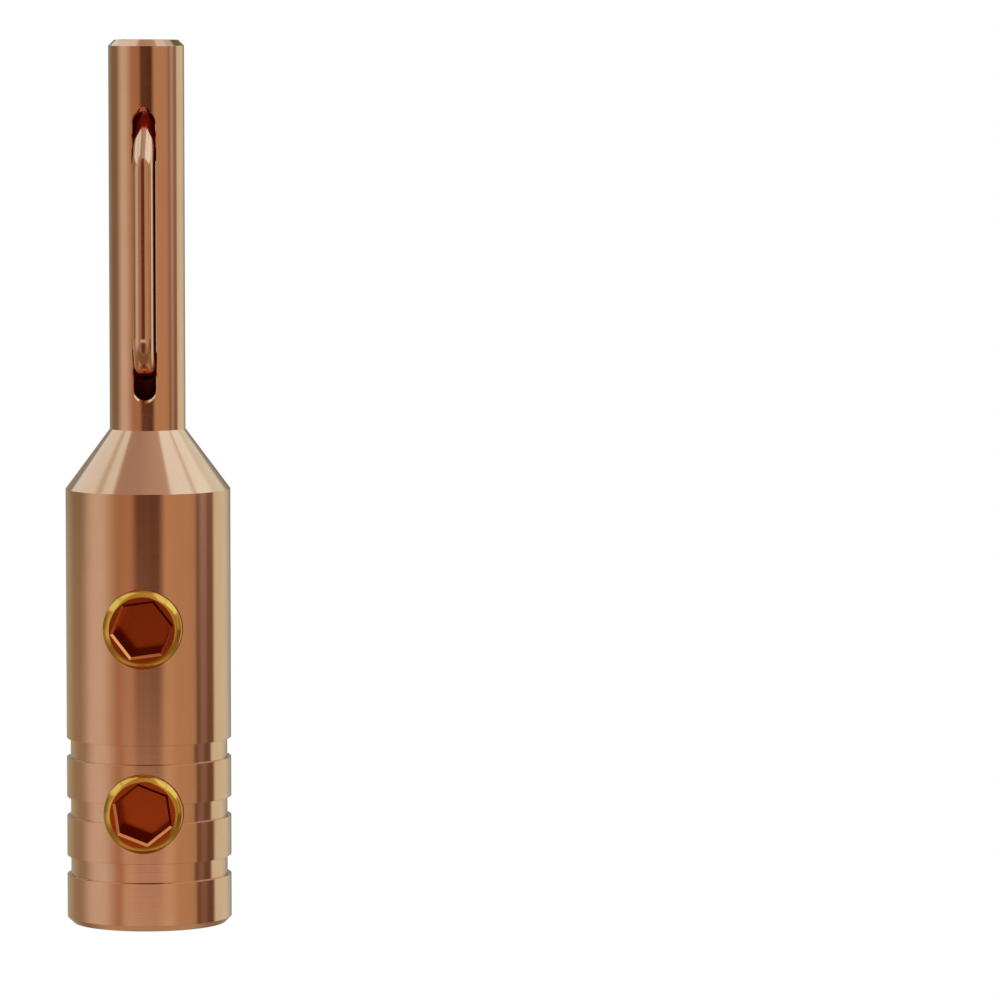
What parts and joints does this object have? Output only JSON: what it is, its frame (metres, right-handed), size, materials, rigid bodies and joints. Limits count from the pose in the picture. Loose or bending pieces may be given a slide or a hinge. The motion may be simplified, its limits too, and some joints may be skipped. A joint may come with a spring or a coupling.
{
  "type": "banana plug",
  "caption": "Turned copper banana plug: hollow slotted contact pin with a bent-wire spring, cone, grooved body, rear cable bore and hex socket set screws.",
  "frame": {"origin": "centre of the rear face, on the plug's axis", "axes": "+Z along the plug's axis towards the tip of the pin; -Y is the side with the slot, the spring and the set screws"},
  "size_m": [0.0085, 0.0089, 0.0456],
  "materials": {
    "polished_copper": "polished copper with fine turning marks",
    "copper_wire": "drawn and polished copper wire",
    "gilt_screw": "bright gold plate"
  },
  "bodies": {
    "plug_body": {"body": "polished_copper"},
    "spring": {"contact_spring": "copper_wire"},
    "front_screw": {"set_screw_front": "gilt_screw"},
    "rear_screw": {"set_screw_rear": "gilt_screw"}
  },
  "joints": [
    {"name": "spring_press", "type": "slide", "parent": "plug_body", "child": "spring", "axis": [0, 1, 0], "range_m": [0, 0.00133], "stiffness_N_per_m": 3000},
    {"name": "front_screw_travel", "type": "slide", "parent": "plug_body", "child": "front_screw", "axis": [0, 1, 0], "range_m": [-0.001, 0.0015]},
    {"name": "rear_screw_travel", "type": "slide", "parent": "plug_body", "child": "rear_screw", "axis": [0, 1, 0], "range_m": [-0.001, 0.0015]}
  ]
}
